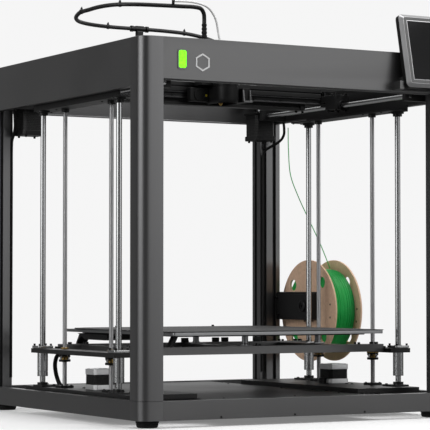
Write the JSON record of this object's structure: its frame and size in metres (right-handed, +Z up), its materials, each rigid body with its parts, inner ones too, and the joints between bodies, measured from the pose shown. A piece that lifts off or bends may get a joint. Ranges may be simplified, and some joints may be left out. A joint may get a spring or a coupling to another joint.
{
  "type": "fdm printer",
  "caption": "Cube-frame fdm printer: dark posts and folded panels, lifting heated bed on rods and screws, sliding gantry and toolhead, tilting touch screen, side spool.",
  "frame": {"origin": "floor point under the middle of the whole machine (its box without the free cords)", "axes": "+X to the right seen from the front, +Y from the front to the back, +Z up"},
  "size_m": [0.706, 0.6662, 0.742],
  "materials": {
    "anodised_post": "satin dark grey anodised extrusion",
    "rubber": "matt moulded rubber",
    "cable_sheath": "braided black sleeve",
    "painted_steel": "fine matt powder coat, dark grey",
    "black_steel": "satin black powder coat",
    "bright_steel": "ground and polished",
    "screw_steel": "rolled thread, bright",
    "motor_body": "black laminations between cast end caps",
    "aluminium": "machined",
    "print_surface": "fine textured coating",
    "black_plastic": "fine moulded texture",
    "screen_plastic": "satin moulded bezel",
    "cardboard": "pressed brown cardboard",
    "filament": "satin green polymer thread",
    "clear_tube": "milky translucent tube"
  },
  "bodies": {
    "frame": {"post_front_left": "anodised_post", "post_rear_left": "anodised_post", "post_front_right": "anodised_post", "post_rear_right": "anodised_post", "foot_front_left": "rubber", "foot_rear_left": "rubber", "foot_front_right": "rubber", "foot_rear_right": "rubber", "header_front": "painted_steel", "header_rear": "painted_steel", "header_left": "painted_steel", "header_right": "painted_steel", "base_front": "painted_steel", "base_rear": "painted_steel", "base_left": "painted_steel", "base_right": "painted_steel", "base_deck": "painted_steel", "lift_plate_left": "black_steel", "lift_plate_right": "black_steel", "top_rail_left": "black_steel", "top_rail_right": "black_steel", "z_rod_front_left": "bright_steel", "z_rod_rear_left": "bright_steel", "z_rod_front_right": "bright_steel", "z_rod_rear_right": "bright_steel", "z_motor_left": "motor_body", "z_motor_right": "motor_body", "xy_motor_left": "motor_body", "xy_motor_right": "motor_body", "y_rod_left": "bright_steel", "y_rod_right": "bright_steel", "spool_bracket": "black_plastic", "cable_post": "black_plastic", "umbilical_rear": "cable_sheath", "filament_strand": "filament"},
    "bed": {"bed_sheet": "print_surface", "bed_plate": "aluminium", "bed_truss": "painted_steel", "bed_arm_left": "black_steel", "bed_arm_right": "black_steel", "z_bush_front_left": "bright_steel", "z_bush_rear_left": "bright_steel", "z_bush_front_right": "bright_steel", "z_bush_rear_right": "bright_steel"},
    "gantry": {"gantry_beam": "black_steel", "y_carriage_left": "black_steel", "y_carriage_right": "black_steel"},
    "toolhead": {"toolhead_carriage": "black_plastic", "toolhead_cover": "black_plastic", "hotend": "aluminium", "cable_relief": "rubber", "umbilical_front": "cable_sheath", "feed_tube": "clear_tube"},
    "spool": {"spool": "cardboard", "filament_winding": "filament"},
    "screen": {"screen_housing": "screen_plastic"},
    "screw_front_left": {"z_screw_front_left": "screw_steel"},
    "screw_rear_left": {"z_screw_rear_left": "screw_steel"},
    "screw_front_right": {"z_screw_front_right": "screw_steel"},
    "screw_rear_right": {"z_screw_rear_right": "screw_steel"}
  },
  "joints": [
    {"name": "bed_lift", "type": "slide", "parent": "frame", "child": "bed", "axis": [0, 0, 1], "range_m": [-0.01, 0.398]},
    {"name": "gantry_slide", "type": "slide", "parent": "frame", "child": "gantry", "axis": [0, 1, 0], "range_m": [-0.2, 0.185], "deforming": ["umbilical_rear"]},
    {"name": "toolhead_slide", "type": "slide", "parent": "gantry", "child": "toolhead", "axis": [1, 0, 0], "range_m": [-0.17, 0.185], "deforming": ["umbilical_front", "feed_tube"]},
    {"name": "spool_spin", "type": "hinge", "parent": "frame", "child": "spool", "pos_m": [0.316, 0.21211, 0.182], "axis": [1, 0, 0], "continuous": true},
    {"name": "screen_tilt", "type": "hinge", "parent": "frame", "child": "screen", "pos_m": [0.208, -0.32089, 0.5835], "axis": [1, 0, 0], "range_deg": [0, 30]},
    {"name": "screw_front_left_turn", "type": "hinge", "parent": "frame", "child": "screw_front_left", "pos_m": [-0.3095, -0.10289, 0], "axis": [0, 0, 1], "range_deg": [-460, 18000]},
    {"name": "screw_rear_left_turn", "type": "hinge", "parent": "frame", "child": "screw_rear_left", "pos_m": [-0.3095, 0.08011, 0], "axis": [0, 0, 1], "range_deg": [-460, 18000]},
    {"name": "screw_front_right_turn", "type": "hinge", "parent": "frame", "child": "screw_front_right", "pos_m": [0.2255, -0.10289, 0], "axis": [0, 0, 1], "range_deg": [-460, 18000]},
    {"name": "screw_rear_right_turn", "type": "hinge", "parent": "frame", "child": "screw_rear_right", "pos_m": [0.2255, 0.08011, 0], "axis": [0, 0, 1], "range_deg": [-460, 18000]}
  ],
  "couplings": [
    {"joint": "screw_front_left_turn", "follows": "bed_lift", "rad_per_m": 785.4},
    {"joint": "screw_rear_left_turn", "follows": "bed_lift", "rad_per_m": 785.4},
    {"joint": "screw_front_right_turn", "follows": "bed_lift", "rad_per_m": 785.4},
    {"joint": "screw_rear_right_turn", "follows": "bed_lift", "rad_per_m": 785.4}
  ]
}
